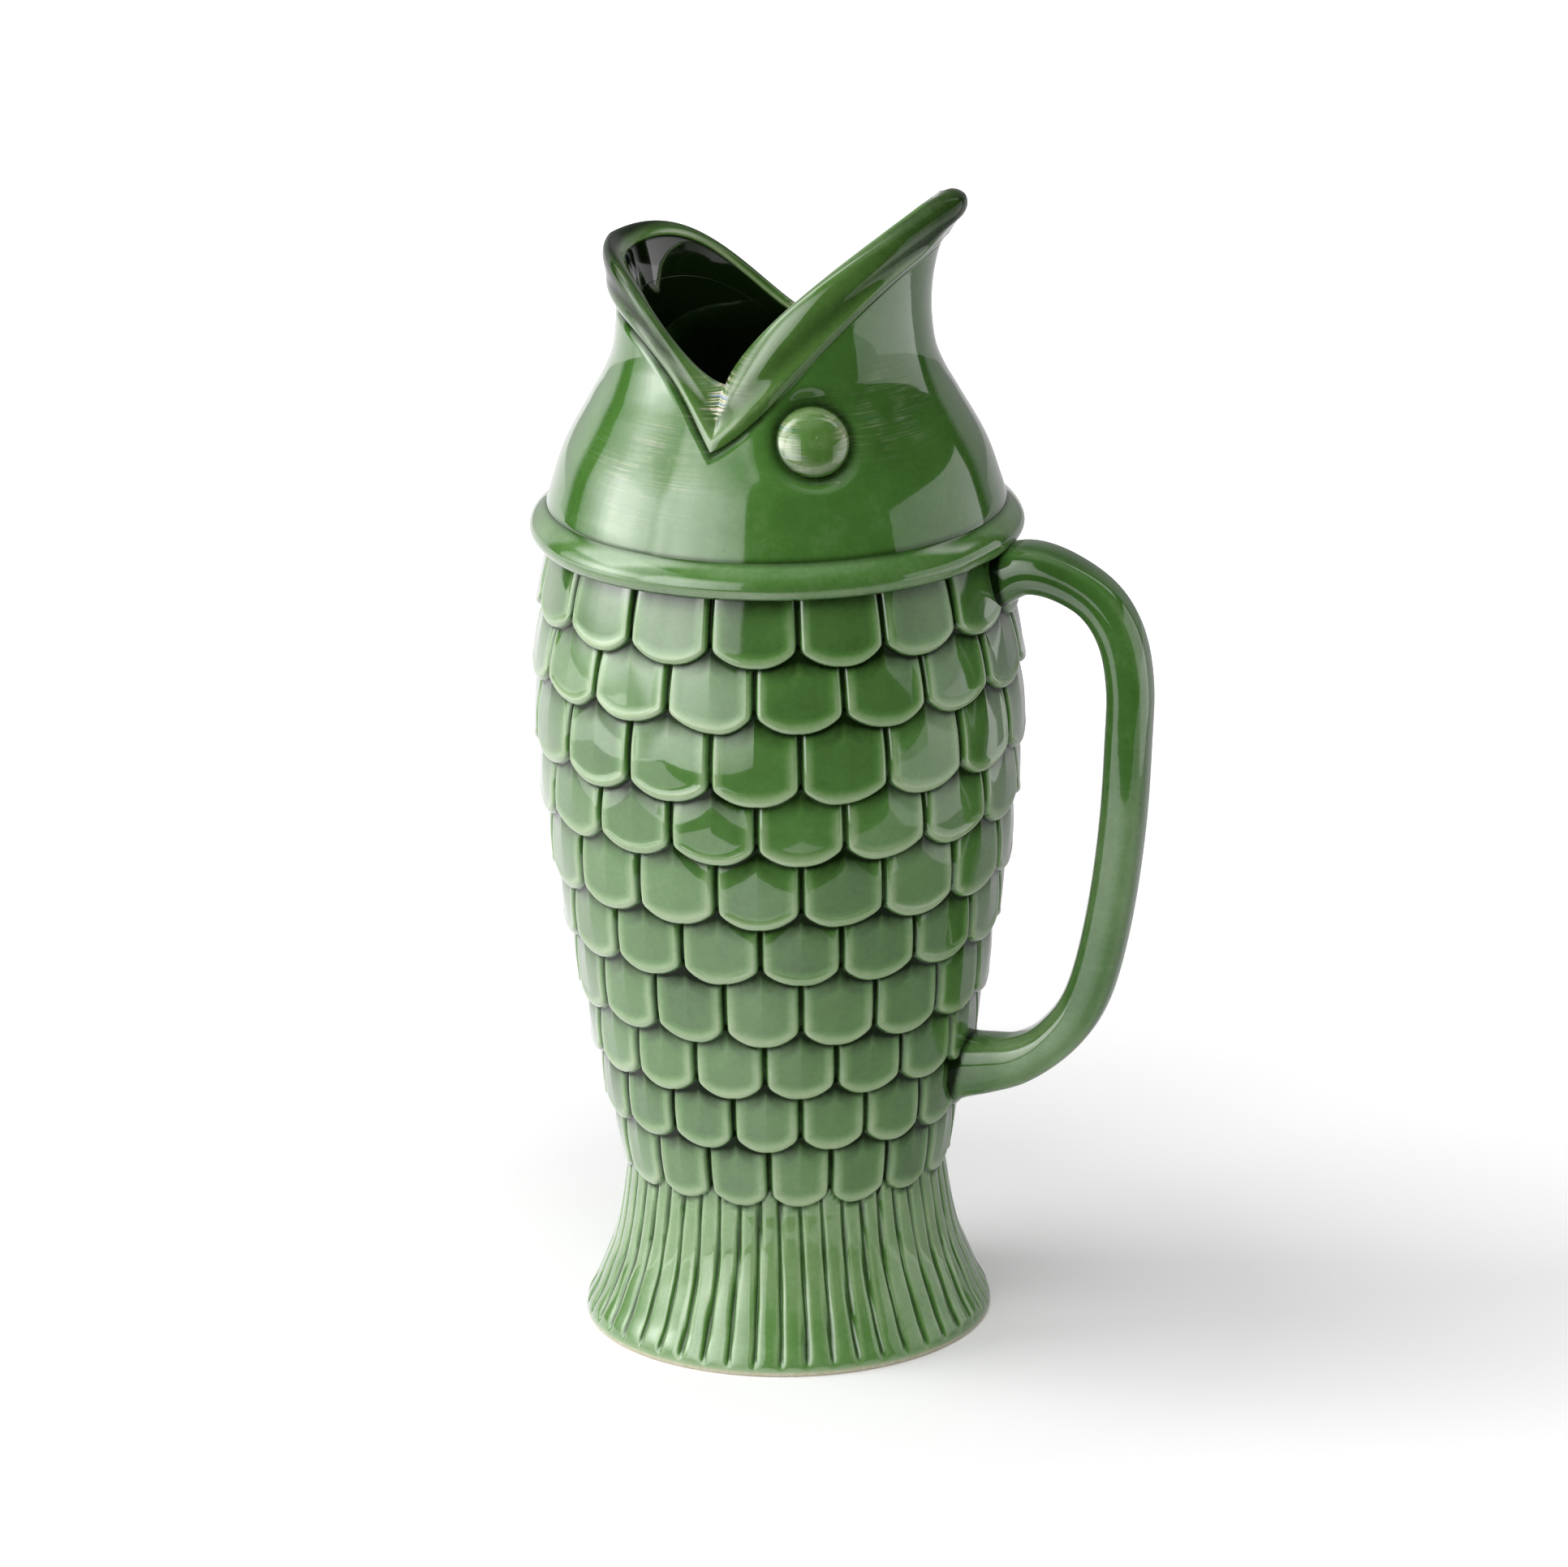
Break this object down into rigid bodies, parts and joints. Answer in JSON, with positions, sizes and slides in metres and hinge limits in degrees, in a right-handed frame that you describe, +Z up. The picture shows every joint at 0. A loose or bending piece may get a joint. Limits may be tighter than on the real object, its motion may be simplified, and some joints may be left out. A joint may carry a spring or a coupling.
{
  "type": "gurgle jug",
  "caption": "Glazed fish-shaped gurgle jug: a scaled body on a fluted tail foot, an open mouth to pour from and a hollow loop handle that traps air.",
  "frame": {"origin": "centre of the flat underside of the foot, on the table", "axes": "+Z up, along the jug's axis; +X towards the handle; -X towards the low lip, which pours; the fish is seen from its flank along +Y"},
  "size_m": [0.1584, 0.1234, 0.2964],
  "materials": {
    "glaze": "translucent leaf-green glaze, high gloss, darker where it pools in the grooves",
    "pale_glaze": "the same green glaze, thinner and paler over rolled edges and the eyes, high gloss",
    "dark_glaze": "the same green glaze, thicker on the collar band, high gloss",
    "bare_clay": "unglazed cream earthenware, matte"
  },
  "bodies": {
    "root": {"trunk": "glaze", "head": "glaze", "mouth_lip": "pale_glaze", "collar_band": "dark_glaze", "tail_foot": "glaze", "foot_base": "bare_clay", "handle": "glaze", "eye_left": "pale_glaze", "eye_right": "pale_glaze"}
  },
  "joints": []
}
